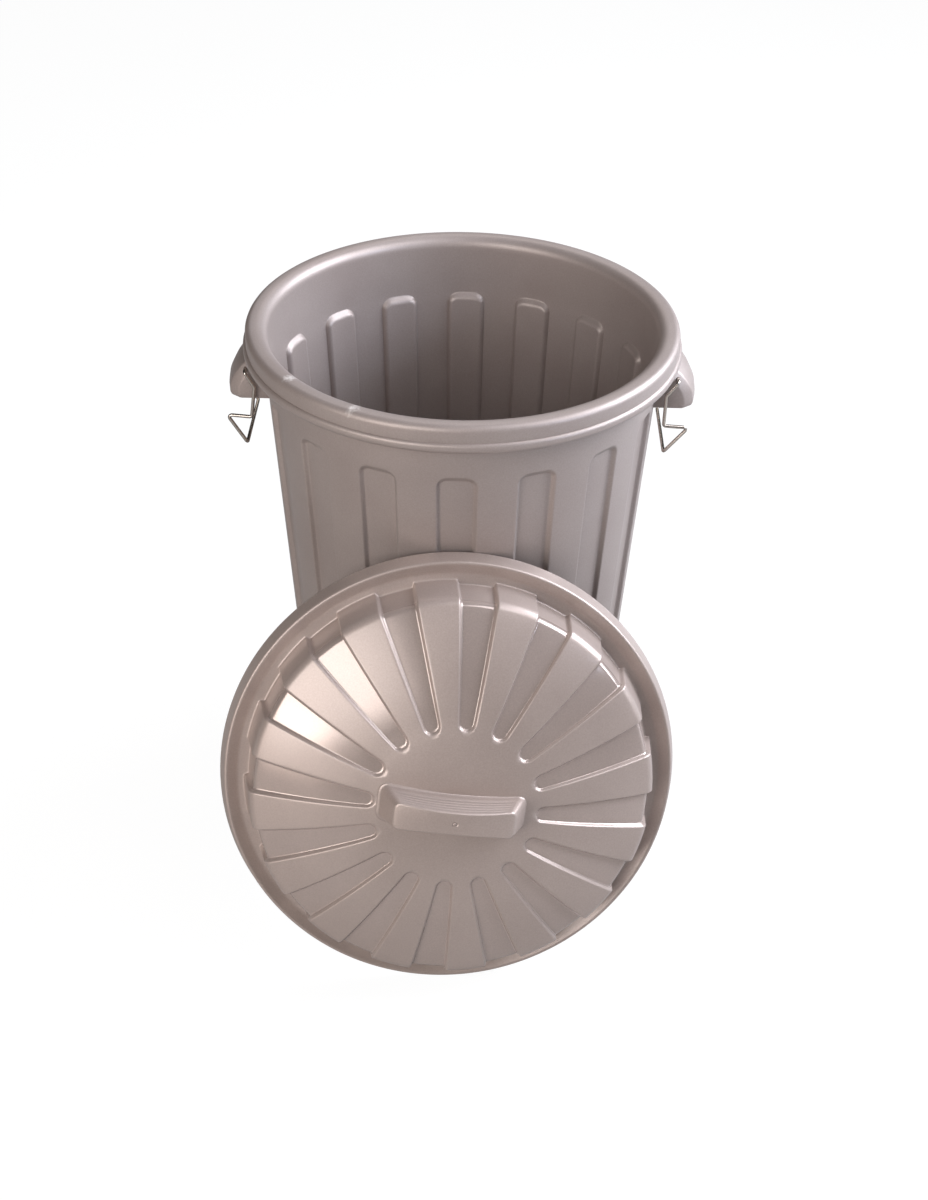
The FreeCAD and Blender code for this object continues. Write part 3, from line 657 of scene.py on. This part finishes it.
# Each soft lamp faces a point in the middle of the object, and all are at one distance from it.
AIM = Vector((0, -0.15, 0.35))
LAMP_DISTANCE = 3.0
LAMPS = [
    # name, degrees round from +X, degrees up, degrees rolled, width, height, watts, colour
    ("key_lamp", -121, 25.5, 41, 2.2, 1.7, 64, "#fffcfa"),
    ("low_lamp", -133, 7, 0, 1.9, 1.0, 14, "#fff2ea"),
    ("right_lamp", 16, 33, 0, 2.6, 2.2, 203, "#eff5ff"),
    ("top_lamp", -30, 62, 0, 1.2, 1.2, 22, "#f8f8ff"),
    ("back_lamp", 90, 45, 0, 1.2, 1.2, 8, "#fff8f2"),
]
for name, around, lift, roll, width, height, power, tint in LAMPS:
    lamp_data = bpy.data.lights.new(name, "AREA")
    lamp_data.shape = "RECTANGLE"
    lamp_data.size = width
    lamp_data.size_y = height
    lamp_data.energy = power
    lamp_data.color = hex_colour(tint)[:3]
    lamp = bpy.data.objects.new(name, lamp_data)
    away = Vector((math.cos(math.radians(around)) * math.cos(math.radians(lift)),
                   math.sin(math.radians(around)) * math.cos(math.radians(lift)), math.sin(math.radians(lift))))
    lamp.location = AIM + away * LAMP_DISTANCE
    turned = away.to_track_quat("Z", "Y") @ Quaternion((0, 0, 1), math.radians(roll))
    lamp.rotation_euler = turned.to_euler()
    bpy.context.scene.collection.objects.link(lamp)

# A narrow cool lamp over the right shoulder reaches into the mouth, on the left and the back of its wall.
MOUTH_LAMP_PLACE = (1.35, -0.95, 1.22)
MOUTH_LAMP_AIM = Vector((-0.1, 0.1, 0.6))
lamp_data = bpy.data.lights.new("mouth_lamp", "SPOT")
lamp_data.energy = 70
lamp_data.color = hex_colour("#d6e7ff")[:3]
lamp_data.shadow_soft_size = 0.25
lamp_data.spot_size = math.radians(19)
lamp_data.spot_blend = 1
lamp = bpy.data.objects.new("mouth_lamp", lamp_data)
lamp.location = MOUTH_LAMP_PLACE
lamp.rotation_euler = (lamp.location - MOUTH_LAMP_AIM).to_track_quat("Z", "Y").to_euler()
bpy.context.scene.collection.objects.link(lamp)

CAMERA_PLACE = (0.0274, -1.6333, 1.4433)
CAMERA_RIGHT = Vector((0.9996, 0.0232, 0.0144)).normalized()
CAMERA_AHEAD = Vector((-0.0103, 0.808, -0.5891)).normalized()
camera_data = bpy.data.cameras.new("camera")
camera_data.sensor_width = 36
camera_data.lens = 49.2
camera = bpy.data.objects.new("camera", camera_data)
camera.matrix_world = Matrix.Translation(CAMERA_PLACE) @ Matrix(
    (CAMERA_RIGHT, CAMERA_RIGHT.cross(CAMERA_AHEAD), -CAMERA_AHEAD)).transposed().to_4x4()
bpy.context.scene.collection.objects.link(camera)
bpy.context.scene.camera = camera
bpy.context.scene.view_settings.view_transform = "Standard"
